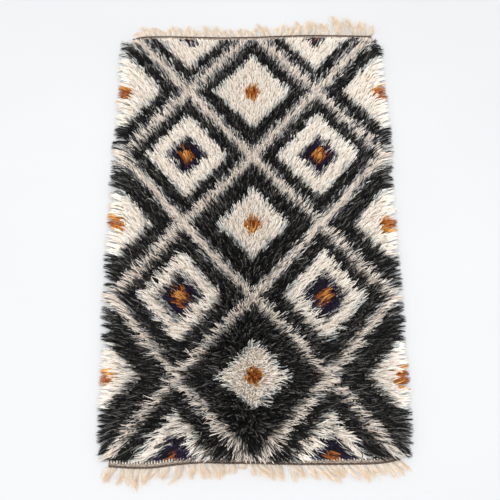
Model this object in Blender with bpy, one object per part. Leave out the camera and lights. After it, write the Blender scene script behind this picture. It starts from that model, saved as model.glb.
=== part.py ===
"""A rya rug lying flat: woven ground, long wool pile, twined end cords and warp fringe.

Metres, +Z up. The rug lies on z = 0 with its length along Y, and the origin is under its middle.
The end at +Y is called the head and the end at -Y the foot.
"""

import random
from collections import namedtuple

import bmesh
import bpy
import numpy as np
from mathutils import Vector, noise

COLLECTION_NAME = "rya_rug"
SEED = 7

# Air left between neighbouring pieces
GAP = 0.0003

# Woven ground: the head is shifted to the left and the foot to the right by the skew
HALF_WIDTH = 0.417
HALF_LENGTH = 0.700
SKEW = 0.003
WEAVE_THICKNESS = 0.003

# Twined cord along each end, and the stations that the cord, the ground and the fringe share
CORD_RADIUS = 0.0025
CORD_UNEVENNESS = 0.08
CORD_CLEARANCE = CORD_RADIUS + GAP
LINE_STATIONS = 38

# Pile: a lumpy slab of standing wool with one lock for each cell of its rim
PILE_COLUMNS = 36
PILE_ROWS = 58
PILE_BOTTOM = WEAVE_THICKNESS + GAP
PILE_TOP = 0.0275
PILE_RIM_TOP = 0.0185
PILE_SHOULDER = 0.045
PILE_CORNER_RADIUS = 0.030
FOOT_BAND = 0.0185
HEAD_BAND = 0.0195
LUMP_SIZE = 0.055
LUMP_HEIGHT = 0.009
TUFT_HEIGHT = 0.0030
LOCK_LEAN = 0.38
LOCK_LEAN_CHANGE = 0.10
LOCK_SHORTEST = 0.78

# Warp fringe: strands fused into a narrow strip beyond each cord
STRIP_CELLS = 3 * (LINE_STATIONS - 1)
STRIP_DEPTH = 0.003
STRIP_HEIGHT = 0.0034
STRAND_BEND = 0.25
STRAND_SHORTEST = 0.84

EndPoint = namedtuple("EndPoint", "across along")
RimRow = namedtuple("RimRow", "along left_reach right_reach")
FringeRow = namedtuple("FringeRow", "across length lean")
Section = namedtuple("Section", "share width height")

# The middle line of each twined cord, from left to right
HEAD_LINE = (
    EndPoint(-0.421, 0.690),
    EndPoint(-0.403, 0.697),
    EndPoint(-0.376, 0.702),
    EndPoint(-0.296, 0.703),
    EndPoint(-0.200, 0.700),
    EndPoint(-0.110, 0.698),
    EndPoint(0.000, 0.700),
    EndPoint(0.086, 0.704),
    EndPoint(0.164, 0.707),
    EndPoint(0.277, 0.707),
    EndPoint(0.415, 0.704),
)
FOOT_LINE = (
    EndPoint(-0.415, -0.709),
    EndPoint(-0.350, -0.713),
    EndPoint(-0.290, -0.713),
    EndPoint(-0.205, -0.702),
    EndPoint(-0.145, -0.698),
    EndPoint(-0.080, -0.700),
    EndPoint(0.000, -0.700),
    EndPoint(0.110, -0.703),
    EndPoint(0.220, -0.703),
    EndPoint(0.320, -0.702),
    EndPoint(0.365, -0.700),
    EndPoint(0.395, -0.695),
    EndPoint(0.420, -0.688),
)

# How far the locks of the two long sides reach past the ground, from foot to head
RIM_ROWS = (
    RimRow(-0.690, 0.036, 0.032),
    RimRow(-0.655, 0.042, 0.038),
    RimRow(-0.610, 0.051, 0.043),
    RimRow(-0.550, 0.053, 0.045),
    RimRow(-0.490, 0.046, 0.045),
    RimRow(-0.430, 0.044, 0.043),
    RimRow(-0.370, 0.052, 0.043),
    RimRow(-0.310, 0.058, 0.047),
    RimRow(-0.150, 0.058, 0.048),
    RimRow(-0.050, 0.058, 0.042),
    RimRow(0.050, 0.051, 0.045),
    RimRow(0.150, 0.052, 0.045),
    RimRow(0.250, 0.053, 0.052),
    RimRow(0.350, 0.049, 0.052),
    RimRow(0.450, 0.042, 0.046),
    RimRow(0.530, 0.049, 0.044),
    RimRow(0.590, 0.049, 0.047),
    RimRow(0.640, 0.046, 0.050),
    RimRow(0.690, 0.036, 0.026),
)
HEAD_REACH = 0.007
FOOT_REACH = 0.013

# Length of the fringe along Y and its sideways lean, from left to right
HEAD_FRINGE = (
    FringeRow(-0.415, 0.030, -0.15),
    FringeRow(-0.365, 0.042, -0.30),
    FringeRow(-0.300, 0.036, -0.15),
    FringeRow(-0.250, 0.045, 0.00),
    FringeRow(-0.180, 0.042, -0.35),
    FringeRow(-0.110, 0.052, -0.25),
    FringeRow(-0.060, 0.038, -0.40),
    FringeRow(-0.010, 0.050, -0.50),
    FringeRow(0.040, 0.052, -0.15),
    FringeRow(0.090, 0.054, 0.20),
    FringeRow(0.130, 0.048, 0.35),
    FringeRow(0.165, 0.062, 0.35),
    FringeRow(0.200, 0.076, 0.25),
    FringeRow(0.260, 0.072, 0.25),
    FringeRow(0.310, 0.079, 0.05),
    FringeRow(0.350, 0.074, 0.00),
    FringeRow(0.415, 0.052, 0.15),
)
FOOT_FRINGE = (
    FringeRow(-0.415, 0.040, -0.85),
    FringeRow(-0.395, 0.060, -0.50),
    FringeRow(-0.350, 0.064, -0.25),
    FringeRow(-0.310, 0.056, -0.35),
    FringeRow(-0.260, 0.045, -0.30),
    FringeRow(-0.230, 0.044, -0.10),
    FringeRow(-0.200, 0.058, 0.10),
    FringeRow(-0.150, 0.050, 0.20),
    FringeRow(-0.090, 0.044, 0.40),
    FringeRow(-0.035, 0.026, 0.45),
    FringeRow(0.000, 0.044, 0.60),
    FringeRow(0.100, 0.050, 0.70),
    FringeRow(0.200, 0.052, 0.75),
    FringeRow(0.300, 0.050, 0.75),
    FringeRow(0.350, 0.054, 0.65),
    FringeRow(0.395, 0.044, 1.00),
    FringeRow(0.420, 0.026, 1.50),
)

# Thickness of a rim lock and of a fringe strand along their length
LOCK_SECTIONS = (
    Section(0.38, 0.78, 0.72),
    Section(0.74, 0.46, 0.42),
    Section(1.00, 0.12, 0.16),
)
STRAND_SECTIONS = (
    Section(0.30, 1.10, 0.88),
    Section(0.70, 0.84, 0.62),
    Section(1.00, 0.22, 0.30),
)


def clear_scene():
    for old in list(bpy.data.objects):
        bpy.data.objects.remove(old, do_unlink=True)


def make_material(name, colour, roughness):
    material = bpy.data.materials.new(name)
    material.use_nodes = True
    shader = material.node_tree.nodes["Principled BSDF"]
    shader.inputs["Base Color"].default_value = (*colour, 1.0)
    shader.inputs["Roughness"].default_value = roughness
    shader.inputs["Metallic"].default_value = 0.0
    return material


def add_object(name, data, material, collection):
    piece = bpy.data.objects.new(name, data)
    data.materials.append(material)
    collection.objects.link(piece)
    return piece


def mesh_from(name, working_mesh):
    """Turn a bmesh into a mesh with its faces pointing out."""
    bmesh.ops.recalc_face_normals(working_mesh, faces=working_mesh.faces)
    mesh = bpy.data.meshes.new(name)
    working_mesh.to_mesh(mesh)
    working_mesh.free()
    return mesh


def read_table(rows, column, position):
    """Read one column of a table between its rows, by position in the first column."""
    first_column = [row[0] for row in rows]
    values = [getattr(row, column) for row in rows]
    return float(np.interp(position, first_column, values))


def side_shift(along):
    return -SKEW * along / HALF_LENGTH


def outward_of(line):
    return 1.0 if line[0].along > 0.0 else -1.0


def beside_line(line, distance):
    """Points beside an end line from left to right, the distance counted away from the rug."""
    across = np.linspace(line[0].across, line[-1].across, LINE_STATIONS)
    along = np.array([read_table(line, "along", place) for place in across])
    slope = np.gradient(along, across)
    offset = distance * outward_of(line)
    stretch = np.sqrt(1 + slope ** 2)
    return list(zip(across - offset * slope / stretch, along + offset / stretch))


def ground_weave(material, collection):
    """The flat cloth that carries the knots, cut out between the two end cords."""
    foot = beside_line(FOOT_LINE, -CORD_CLEARANCE)
    head = beside_line(HEAD_LINE, -CORD_CLEARANCE)
    outline = foot + head[::-1]
    curve = bpy.data.curves.new("ground_weave", "CURVE")
    curve.dimensions = "2D"
    curve.fill_mode = "BOTH"
    curve.extrude = WEAVE_THICKNESS / 2
    spline = curve.splines.new("POLY")
    spline.points.add(len(outline) - 1)
    for point, (across, along) in zip(spline.points, outline):
        point.co = (across, along, 0.0, 1.0)
    spline.use_cyclic_u = True
    piece = add_object("ground_weave", curve, material, collection)
    piece.location.z = WEAVE_THICKNESS / 2
    return piece


def pile_place(column_share, row_share):
    """A point of the slab's plan, from shares of -1 to 1 across and along."""
    foot_along = read_table(FOOT_LINE, "along", column_share * HALF_WIDTH) + FOOT_BAND
    head_along = read_table(HEAD_LINE, "along", column_share * HALF_WIDTH) - HEAD_BAND
    along = foot_along + (head_along - foot_along) * (row_share + 1) / 2
    across = column_share * HALF_WIDTH + side_shift(along)
    return across, along


def round_corner(column_share, row_share):
    """Draw the plan's four corners in, so that its outline turns softly there."""
    half = Vector((HALF_WIDTH, HALF_LENGTH - FOOT_BAND))
    place = Vector((abs(column_share) * half.x, abs(row_share) * half.y))
    centre = half - Vector((PILE_CORNER_RADIUS, PILE_CORNER_RADIUS))
    past = place - centre
    if past.x > 0 and past.y > 0:
        past *= max(past.x, past.y) / past.length
        place = centre + past
    across = np.sign(column_share) * place.x / half.x
    along = np.sign(row_share) * place.y / half.y
    return float(across), float(along)


def pile_height(across, along, column_share, row_share, rng):
    """Height of the slab's top: lumpy in the middle, falling away at the rim."""
    to_side = (1 - abs(column_share)) * HALF_WIDTH
    to_end = (1 - abs(row_share)) * HALF_LENGTH
    inward = min(min(to_side, to_end) / PILE_SHOULDER, 1.0)
    rise = inward * (2 - inward)
    lumps = noise.noise(Vector((across, along, 0.0)) / LUMP_SIZE)
    crown = PILE_RIM_TOP + (PILE_TOP - PILE_RIM_TOP) * rise
    return crown + LUMP_HEIGHT * lumps + TUFT_HEIGHT * rng.uniform(-1, 1)


def lock_path(root, normal, rng):
    """The way that one rim lock grows, from the middle of its root."""
    on_side = abs(normal.x) > abs(normal.y)
    if on_side:
        reach = read_table(RIM_ROWS, "left_reach" if normal.x < 0 else "right_reach", root.y)
    else:
        reach = HEAD_REACH if normal.y > 0 else FOOT_REACH
    reach *= rng.uniform(LOCK_SHORTEST, 1.0)
    lean = LOCK_LEAN_CHANGE * rng.uniform(-1, 1)
    if on_side:
        lean += LOCK_LEAN * root.y / HALF_LENGTH
    sideways = Vector((0.0, 1.0, 0.0)) if on_side else Vector((1.0, 0.0, 0.0))
    tip = (normal + sideways * lean) * reach
    return lambda share: tip * share


def strand_path(root, outward, rows, rng):
    """The way that one fringe strand runs on the floor, from the middle of its root."""
    length = read_table(rows, "length", root.x) * rng.uniform(STRAND_SHORTEST, 1.0)
    lean = read_table(rows, "lean", root.x)

    def path(share):
        sideways = lean * length * share * (1 + STRAND_BEND * (share - 1))
        return Vector((sideways, outward * length * share, 0.0))

    return path


def grow(working_mesh, root_face, path, sections, floor):
    """Draw one face out into a tapered lock, its underside kept level above the floor."""
    root = root_face.calc_center_median()
    corners = [vert.co - root for vert in root_face.verts]
    face = root_face
    for section in sections:
        face = bmesh.ops.extrude_discrete_faces(working_mesh, faces=[face])["faces"][0]
        middle = root + path(section.share)
        for vert, corner in zip(face.verts, corners):
            height = (root.z + corner.z - floor) * section.height
            across = middle.x + corner.x * section.width
            along = middle.y + corner.y * section.width
            vert.co = (across, along, floor + height)


def pile(material, collection):
    """The slab of standing wool, with a drooping lock at every cell of its rim."""
    rng = random.Random(SEED)
    slab = bmesh.new()
    bmesh.ops.create_grid(slab, x_segments=PILE_COLUMNS, y_segments=PILE_ROWS, size=1.0)
    for vert in slab.verts:
        shares = round_corner(vert.co.x, vert.co.y)
        across, along = pile_place(*shares)
        vert.co = (across, along, pile_height(across, along, *shares, rng))
    rim = [edge for edge in slab.edges if edge.is_boundary]
    walls = bmesh.ops.extrude_edge_only(slab, edges=rim)["geom"]
    for vert in walls:
        if isinstance(vert, bmesh.types.BMVert):
            vert.co.z = PILE_BOTTOM
    wall_faces = [face for face in walls if isinstance(face, bmesh.types.BMFace)]
    wall_faces.sort(key=lambda face: face.calc_center_median()[:])
    lower_rim = [edge for edge in slab.edges if edge.is_boundary]
    bmesh.ops.contextual_create(slab, geom=lower_rim)
    bmesh.ops.recalc_face_normals(slab, faces=slab.faces)

    for face in wall_faces:
        normal = Vector((face.normal.x, face.normal.y, 0.0)).normalized()
        path = lock_path(face.calc_center_median(), normal, rng)
        grow(slab, face, path, LOCK_SECTIONS, PILE_BOTTOM)
    return add_object("pile", mesh_from("pile", slab), material, collection)


def twining(name, line, material, collection):
    """One twined cord, a little uneven, lying on the floor along its end line."""
    rng = random.Random(SEED)
    curve = bpy.data.curves.new(name, "CURVE")
    curve.dimensions = "3D"
    curve.bevel_depth = CORD_RADIUS
    curve.bevel_resolution = 2
    curve.use_fill_caps = True
    spline = curve.splines.new("POLY")
    spline.points.add(LINE_STATIONS - 1)
    for point, (across, along) in zip(spline.points, beside_line(line, 0.0)):
        thinning = 1.0 - CORD_UNEVENNESS * rng.random()
        point.co = (across, along, CORD_RADIUS * thinning, 1.0)
        point.radius = thinning
    return add_object(name, curve, material, collection)


def strip_place(cell_share, near_side, far_side):
    """The two sides of the fringe strip at a share of its way from left to right."""
    stations = np.linspace(0.0, 1.0, LINE_STATIONS)
    places = []
    for side in (near_side, far_side):
        across, along = np.array(side).T
        places.append((np.interp(cell_share, stations, across), np.interp(cell_share, stations, along)))
    return places


def fringe(name, line, rows, material, collection):
    """One row of warp ends: a narrow strip with a tapered strand at every other cell."""
    rng = random.Random(SEED)
    outward = outward_of(line)
    near_side = beside_line(line, CORD_CLEARANCE)
    far_side = beside_line(line, CORD_CLEARANCE + STRIP_DEPTH)
    strip = bmesh.new()
    bmesh.ops.create_grid(strip, x_segments=STRIP_CELLS, y_segments=1, size=1.0)
    for vert in strip.verts:
        near, far = strip_place((vert.co.x + 1) / 2, near_side, far_side)
        place = far if vert.co.y > 0 else near
        vert.co = (*place, 0.0)
    raised = bmesh.ops.extrude_face_region(strip, geom=strip.faces[:])["geom"]
    for vert in raised:
        if isinstance(vert, bmesh.types.BMVert):
            vert.co.z = STRIP_HEIGHT
    bmesh.ops.recalc_face_normals(strip, faces=strip.faces)
    outer = [face for face in strip.faces if face.normal.y * outward > 0.5]
    outer.sort(key=lambda face: face.calc_center_median().x)
    for face in outer[::2]:
        path = strand_path(face.calc_center_median(), outward, rows, rng)
        grow(strip, face, path, STRAND_SECTIONS, 0.0)
    return add_object(name, mesh_from(name, strip), material, collection)


def world_corners(pieces):
    """Lowest and highest corner of everything built, with curves as they are swept."""
    bpy.context.view_layer.update()
    depsgraph = bpy.context.evaluated_depsgraph_get()
    points = []
    for piece in pieces:
        evaluated = piece.evaluated_get(depsgraph)
        mesh = evaluated.to_mesh()
        points += [piece.matrix_world @ vert.co for vert in mesh.vertices]
        evaluated.to_mesh_clear()
    places = np.array(points)
    return places.min(axis=0), places.max(axis=0)


def centre_on_origin(pieces):
    """Slide the whole rug so that the origin is under the middle of its box."""
    low, high = world_corners(pieces)
    middle = (low + high) / 2
    for piece in pieces:
        piece.location.x -= float(middle[0])
        piece.location.y -= float(middle[1])


def main():
    clear_scene()
    collection = bpy.data.collections.new(COLLECTION_NAME)
    bpy.context.scene.collection.children.link(collection)
    ground_wool = make_material("ground_wool", (0.47, 0.42, 0.38), 0.95)
    pile_wool = make_material("pile_wool", (0.23, 0.22, 0.21), 0.92)
    brown_yarn = make_material("brown_yarn", (0.09, 0.05, 0.035), 0.90)
    warp_yarn = make_material("warp_yarn", (0.88, 0.74, 0.56), 0.90)
    pieces = [
        ground_weave(ground_wool, collection),
        pile(pile_wool, collection),
        twining("twining_head", HEAD_LINE, brown_yarn, collection),
        twining("twining_foot", FOOT_LINE, brown_yarn, collection),
        fringe("fringe_head", HEAD_LINE, HEAD_FRINGE, warp_yarn, collection),
        fringe("fringe_foot", FOOT_LINE, FOOT_FRINGE, warp_yarn, collection),
    ]
    centre_on_origin(pieces)


main()
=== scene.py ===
# %% [markdown]
# # A rya rug, knot by knot
# A rya is a hand-knotted wool rug with a long shaggy pile. It is made of four things: a flat
# woven ground, rows of knots whose cut ends stand up as pile, a dark cord twined round the
# warps at each end, and the warp ends left loose beyond it as a fringe.
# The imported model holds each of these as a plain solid. This script dresses them.

import math

import bmesh
import bpy
import numpy as np
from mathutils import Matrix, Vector


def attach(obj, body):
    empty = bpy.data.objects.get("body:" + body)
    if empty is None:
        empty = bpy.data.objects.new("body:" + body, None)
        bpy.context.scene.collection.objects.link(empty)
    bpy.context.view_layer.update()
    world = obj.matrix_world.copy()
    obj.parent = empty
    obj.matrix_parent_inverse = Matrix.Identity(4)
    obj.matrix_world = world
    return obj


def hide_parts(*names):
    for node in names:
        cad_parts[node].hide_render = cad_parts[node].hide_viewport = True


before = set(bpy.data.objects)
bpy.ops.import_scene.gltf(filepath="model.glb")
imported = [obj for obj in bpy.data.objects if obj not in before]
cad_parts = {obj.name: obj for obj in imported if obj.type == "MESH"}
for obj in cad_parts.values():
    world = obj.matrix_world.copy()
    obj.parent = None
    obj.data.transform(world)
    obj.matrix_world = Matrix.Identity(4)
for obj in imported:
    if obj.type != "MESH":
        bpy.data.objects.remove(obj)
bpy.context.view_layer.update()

# %% [markdown]
# ## Sizes
# Every size is the real one in metres. A knot of this rya covers about 8 mm along its row, and
# the rows are about 10 mm apart, because a few plain wefts lie between them. A fixed seed makes
# each run give the same rug.

# %% Sizes of the yarn and the knots
KNOT_PITCH = 0.0083
ROW_PITCH = 0.0105
STRANDS_PER_KNOT = (3, 4)
SIDE_COLUMNS, SIDE_STRANDS = 2, 4
YARN_RADIUS = 0.00190
CLOTH_TOP = 0.0030
FOOT_BAND = 0.0185
HEAD_BAND = 0.0195
ROOT_HEIGHT = 0.0026
rng = np.random.default_rng(7)

# %% [markdown]
# ## Colours
# The colours are written as sRGB hex values, as a screen shows them. Blender's shaders work with
# linear light, so one function turns them over.

# %% Colour helper and the dyer's shades
def linear(hex_colour):
    """Turn an sRGB hex value to linear red, green, blue and alpha."""
    parts = [int(hex_colour[i : i + 2], 16) / 255 for i in (1, 3, 5)]
    return [p / 12.92 if p <= 0.04045 else ((p + 0.055) / 1.055) ** 2.4 for p in parts] + [1.0]


# Each shade of the rug is a mix of a few yarns, laid into the knots by chance.
SHADES = {
    "cream": ["#FFF8EE", "#FDF2E4", "#FFFAF3", "#F8EADB", "#FBF2E6"],
    "beige": ["#F8EDE0", "#EEDFD0", "#FAF0E4", "#DCCDBE", "#D8D0C6"],
    "pale_grey": ["#E3E3DD", "#CFD1CC", "#F1EEE6", "#AEB6B8", "#F2ECE0", "#8C8E8C"],
    "mid_grey": ["#B4B2B0", "#7C7B82", "#4B4A50", "#CFCCC4", "#2A2A2C", "#DEDAD1", "#1A1A1B"],
    # In the black, #42413F and #6C6A68 are partly grey yarns and partly painted highlights along black strands
    "black": ["#111010", "#0C0B0B", "#1E1D1D", "#141414", "#42413F", "#111010", "#6C6A68"],
    "aubergine": ["#211834", "#2D2042", "#18141F", "#141217"],
    "rust": ["#B2602A", "#944F1E", "#C87A3A", "#763A16"],
    "amber": ["#E0A35A", "#ECB56C", "#CB8842", "#B87536"],
}
print(len(SHADES), "shades from", sum(map(len, SHADES.values())), "yarns")

# %% [markdown]
# ## One helper for nodes
# Materials and Geometry Nodes are both node trees, and a script builds them in the same way:
# add a node, set its properties, then fill or link its inputs. One small function does all
# three, for every kind of node.

# %% Node helper
def add_node(tree, kind, inputs=None, **settings):
    """Add a node. inputs maps a socket's name or number to a value or to an output socket."""
    node = tree.nodes.new(kind)
    for name, value in settings.items():
        setattr(node, name, value)
    for socket, value in (inputs or {}).items():
        if isinstance(value, bpy.types.NodeSocket):
            tree.links.new(value, node.inputs[socket])
        else:
            node.inputs[socket].default_value = value
    return node


# %% [markdown]
# ## Where the cloth ends
# The two ends of the ground aren't straight: the foot dips at the left and rises at the right.
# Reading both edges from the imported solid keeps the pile, the cords and the fringe on it.

# %% Read the cloth's edges and the pile's reach from the model
def node_points(name):
    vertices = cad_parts[name].data.vertices
    points = np.empty(3 * len(vertices))
    vertices.foreach_get("co", points)
    return points.reshape(-1, 3)


cloth_points = node_points("ground_weave")
END_ZONE = 0.6


def end_edge(sign):
    """The edge at one end of the cloth, as sorted points across and along."""
    points = cloth_points[cloth_points[:, 1] * sign > END_ZONE][:, :2]
    return points[np.argsort(points[:, 0])]


head_edge, foot_edge = end_edge(1), end_edge(-1)
left_side = (foot_edge[0, 0] + head_edge[0, 0]) / 2
right_side = (foot_edge[-1, 0] + head_edge[-1, 0]) / 2
cloth_width = right_side - left_side


def head_at(across):
    return np.interp(across, head_edge[:, 0], head_edge[:, 1])


def foot_at(across):
    return np.interp(across, foot_edge[:, 0], foot_edge[:, 1])


cloth_length = float(head_at(0.0) - foot_at(0.0))
print(f"The cloth is {cloth_width:.3f} by {cloth_length:.3f} m")


def side_reach(sign):
    """How far the pile hangs over one long side, by place along it."""
    points = node_points("pile")
    side = right_side if sign > 0 else -left_side
    places = np.linspace(-0.66, 0.66, 23)
    step = places[1] - places[0]
    reach = []
    for place in places:
        near = points[np.abs(points[:, 1] - place) < 0.75 * step]
        reach.append((near[:, 0] * sign).max() - side)
    return places, np.array(reach)


left_reach, right_reach = side_reach(-1), side_reach(1)
print("Pile past the sides, mm:", left_reach[1].mean() * 1000, right_reach[1].mean() * 1000)

# %% [markdown]
# ## The knots
# The knots lie on a grid: about 100 across and 129 rows along. The rows near each end follow
# the cloth's own edge, so the rug's slight waviness carries into them. Arrays hold all knots at
# once, which is far quicker than a loop over thirteen thousand of them.

# %% Lay out the knots
knot_columns = round(cloth_width / KNOT_PITCH)
knot_rows = int((cloth_length - FOOT_BAND - HEAD_BAND) / ROW_PITCH)
column, row = np.meshgrid(np.arange(knot_columns), np.arange(knot_rows), indexing="ij")
column, row = column.ravel(), row.ravel()


def knot_place(column_number, row_number):
    """Where a knot sits, from its place in its row and the number of the row."""
    across_share = (column_number + 0.5) / knot_columns
    row_share = (row_number + 0.5) / knot_rows
    across = left_side + cloth_width * across_share
    first = foot_at(across) + FOOT_BAND
    last = head_at(across) - HEAD_BAND
    along = first + (last - first) * row_share
    lean = (head_edge[0, 0] - foot_edge[0, 0]) * (row_share - 0.5)
    return across + lean, along


knot_across, knot_along = knot_place(column, row)
print(knot_columns, "knots in each of", knot_rows, "rows,", len(column), "in all")

# %% [markdown]
# ## The pattern
# The old way to fill a rya is a lattice of nested lozenges, stepped from knot to knot. On paper
# it would be a chart. Here a formula gives each knot its distance from the nearest lozenge's
# middle, and a short table turns that distance to a shade. Two kinds of lozenge alternate. The
# tables have one limit for the head of the rug and one for the foot, so the cream narrows and
# the black grows from head to foot.

# %% Lozenge lattice
ACROSS_COUNT = 2
ALONG_COUNT = 3
half_wide = cloth_width / 2 / ACROSS_COUNT
half_long = cloth_length / 2 / ALONG_COUNT

# Shade of each band, then how far out from the middle it runs at the head and at the foot
LIGHT_LOZENGE = [
    ("rust", 0.10, 0.09),
    ("amber", 0.15, 0.13),
    ("cream", 0.59, 0.34),
    ("pale_grey", 0.65, 0.40),
    ("black", 0.82, 0.915),
    ("mid_grey", 0.93, 0.95),
    ("beige", 1.01, 1.01),
]
DARK_LOZENGE = [
    ("amber", 0.08, 0.08),
    ("rust", 0.14, 0.14),
    ("aubergine", 0.22, 0.33),
    ("mid_grey", 0.29, 0.42),
    ("cream", 0.62, 0.55),
    ("pale_grey", 0.67, 0.59),
    ("black", 0.82, 0.92),
    ("mid_grey", 0.93, 0.955),
    ("beige", 1.01, 1.01),
]


def lozenge_distance(across, along):
    """0 in the middle of a lozenge and 1 on its outline, and whether it is a dark one."""
    wide, long = across / half_wide, along / half_long
    p, q = (wide + long) / 2, (wide - long) / 2
    middle_p, middle_q = np.round(p), np.round(q)
    distance = 2 * np.maximum(np.abs(p - middle_p), np.abs(q - middle_q))
    dark = (middle_p + middle_q) % 2 == 1
    return distance, dark


distance, in_dark = lozenge_distance(knot_across, knot_along)
distance = np.clip(distance + rng.normal(0, 0.012, len(distance)), 0, 1)
towards_foot = np.clip(0.5 - knot_along / cloth_length, 0, 1)

shade_names = list(SHADES)
knot_shade = np.zeros(len(column), int)
for dark, bands in ((False, LIGHT_LOZENGE), (True, DARK_LOZENGE)):
    for shade, head_limit, foot_limit in reversed(bands):
        limit = head_limit + (foot_limit - head_limit) * towards_foot
        knot_shade[(in_dark == dark) & (distance <= limit)] = shade_names.index(shade)
for number, shade in enumerate(shade_names):
    print(f"{shade:10s} {100 * np.mean(knot_shade == number):4.1f} % of the knots")

# %% [markdown]
# ## How the pile lies
# Shag doesn't stand straight. Near the middle of this rug it is nearly upright, and from there
# it combs outwards: left on the left, right on the right, down at the foot. Over the long sides
# it falls to the floor. Each strand is therefore an arc. It leaves its knot at a first angle
# from the upright and bends steadily on.
# Strands of neighbouring knots also cling together at their tips, which gives shag its locks.

# %% Strands of the knots, and the tuft each belongs to
TUFT_TURN, TUFT_LEAN, TUFT_LENGTH = 0.22, 0.16, 0.09
TUFT_PUSH_HEAD, TUFT_PUSH_FOOT = 0.05, 0.08

strands_of_knot = np.where((column + row) % 2 == 0, *STRANDS_PER_KNOT)
columns_in = np.minimum(column, knot_columns - 1 - column)
strands_of_knot = strands_of_knot + SIDE_STRANDS * (columns_in < SIDE_COLUMNS)
strand_knot = np.repeat(np.arange(len(column)), strands_of_knot)
strand_count = len(strand_knot)
across = knot_across[strand_knot] + rng.uniform(-0.5, 0.5, strand_count) * KNOT_PITCH
row_spread = np.interp(knot_along[strand_knot], [-0.45, 0.1], [0.45, 0.14]) * ROW_PITCH
along = knot_along[strand_knot] + rng.uniform(-1, 1, strand_count) * row_spread
strand_row = row[strand_knot]
tuft_turn = rng.normal(0, TUFT_TURN, len(column))[strand_knot]
tuft_lean = rng.normal(0, TUFT_LEAN, len(column))[strand_knot]
tuft_length = rng.normal(1, TUFT_LENGTH, len(column))[strand_knot]
tuft_push = rng.normal(0, 1, (2, len(column)))[:, strand_knot]


def smooth(value):
    value = np.clip(value, 0, 1)
    return value * value * (3 - 2 * value)


# %% [markdown]
# The lay is a pair of leans for every strand: the share of its length by which its tip moves
# across and along the rug. Smooth steps blend one part of the rug into the next.

# %% Length and lay of the pile
LAY_MIDDLE = -0.02
SHORT_PILE, LONG_PILE, HEAD_SIDE_GAIN = 0.027, 0.047, 0.35
HEAD_LEAN, FOOT_LEAN = 0.46, 0.88
UP_LEAN, UP_SIDE_GAIN, DOWN_LEAN = 0.26, 0.22, 0.70
UP_FROM, UP_BLEND = -0.50, 0.30
DOWN_FROM, DOWN_BLEND = -0.595, 0.075
HEAD_PARTING, FOOT_PARTING = 1.9, 4.4
RIM_WIDTH = 0.036

side_share = (across - LAY_MIDDLE) / (cloth_width / 2)
foot_share = smooth((0.25 - along) / 0.75)
side_room = np.minimum(across - left_side, right_side - across)
rim = smooth(1 - side_room / RIM_WIDTH)

long_share = np.maximum(HEAD_SIDE_GAIN * smooth(np.abs(side_share)), 0.95 * foot_share)
length = SHORT_PILE + (LONG_PILE - SHORT_PILE) * long_share
parting = HEAD_PARTING + (FOOT_PARTING - HEAD_PARTING) * foot_share
lean_across = (HEAD_LEAN + (FOOT_LEAN - HEAD_LEAN) * foot_share) * np.tanh(parting * side_share)
lean_across = lean_across + (0.93 * np.sign(side_share) - lean_across) * rim
up_share = smooth((along - UP_FROM) / UP_BLEND) * (1 - 0.6 * rim)
lean_up = (UP_LEAN + UP_SIDE_GAIN * smooth(np.abs(side_share) / 0.5)) * up_share
lean_down = DOWN_LEAN * smooth((DOWN_FROM - along) / DOWN_BLEND)
lean_along = lean_up - lean_down

tuft_turn = tuft_turn * (1 - 0.5 * rim)
turned_across = lean_across * np.cos(tuft_turn) - lean_along * np.sin(tuft_turn)
turned_along = lean_across * np.sin(tuft_turn) + lean_along * np.cos(tuft_turn)
fringed = np.maximum(rim, foot_share * smooth(np.abs(side_share)))
loose = rng.normal(0, 1, (2, strand_count)) * (0.10 - 0.05 * fringed)
push = TUFT_PUSH_HEAD + (TUFT_PUSH_FOOT - TUFT_PUSH_HEAD) * foot_share * (1 - np.abs(side_share))
lean_across = turned_across * (1 + tuft_lean) + loose[0] + push * tuft_push[0]
lean_along = turned_along * (1 + tuft_lean) + loose[1] + push * tuft_push[1]
length = length * tuft_length * rng.normal(1, 0.05, strand_count)

# %% [markdown]
# No strand may reach further than the pile of the model does. The room left at each side is
# read from the solid. The strands at the rim are cut to that reach, some shorter than others,
# so the outline is ragged as real shag is.

# %% Keep the strands inside the model's outline
# How far the pile covers the bare band at the foot: places across the rug, and the cover there
FOOT_COVER = (
    [-0.42, -0.28, -0.20, -0.10, 0.08, 0.16, 0.30, 0.36, 0.42],
    [0.003, 0.004, 0.009, 0.016, 0.016, 0.008, 0.007, 0.014, 0.013],
)
HEAD_COVER = 0.001
CORNER_SIZE, HEAD_RIGHT_LOSS, FOOT_LEFT_LOSS = 0.045, 0.75, 0.55
MOST_REACH, LEAST_REACH = 1.20, 0.62
MOST_HEIGHT = 0.037
HEAD_HEIGHT, HEAD_RISE = 0.015, 0.8

head_corner = smooth(1 - (head_at(across) - HEAD_BAND - along) / CORNER_SIZE)
foot_corner = smooth(1 - (along - foot_at(across) - FOOT_BAND) / CORNER_SIZE)
reach_left = np.interp(along, *left_reach) * (1 - FOOT_LEFT_LOSS * foot_corner)
reach_right = np.interp(along, *right_reach) * (1 - HEAD_RIGHT_LOSS * head_corner)
side_reach_here = np.where(side_share < 0, reach_left, reach_right)
length = np.maximum(length, rim * (1.10 * side_reach_here + 0.006))
room = {
    "left": across - left_side + reach_left,
    "right": right_side - across + reach_right,
    "foot": along - foot_at(across) - FOOT_BAND + np.interp(across, *FOOT_COVER),
    "head": head_at(across) - HEAD_BAND - along + HEAD_COVER,
}
ragged = MOST_REACH - (MOST_REACH - LEAST_REACH) * rng.uniform(0, 1, strand_count) ** 2
reach_across = np.clip(lean_across * length, -room["left"] * ragged, room["right"] * ragged)
reach_along = np.clip(lean_along * length, -room["foot"] * ragged, room["head"] * ragged / MOST_REACH)
reach = np.hypot(reach_across, reach_along)
kept = np.clip(reach / np.maximum(np.hypot(lean_across, lean_along) * length, 1e-6), 0, 1)
length = length * (0.60 + 0.40 * kept)
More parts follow.
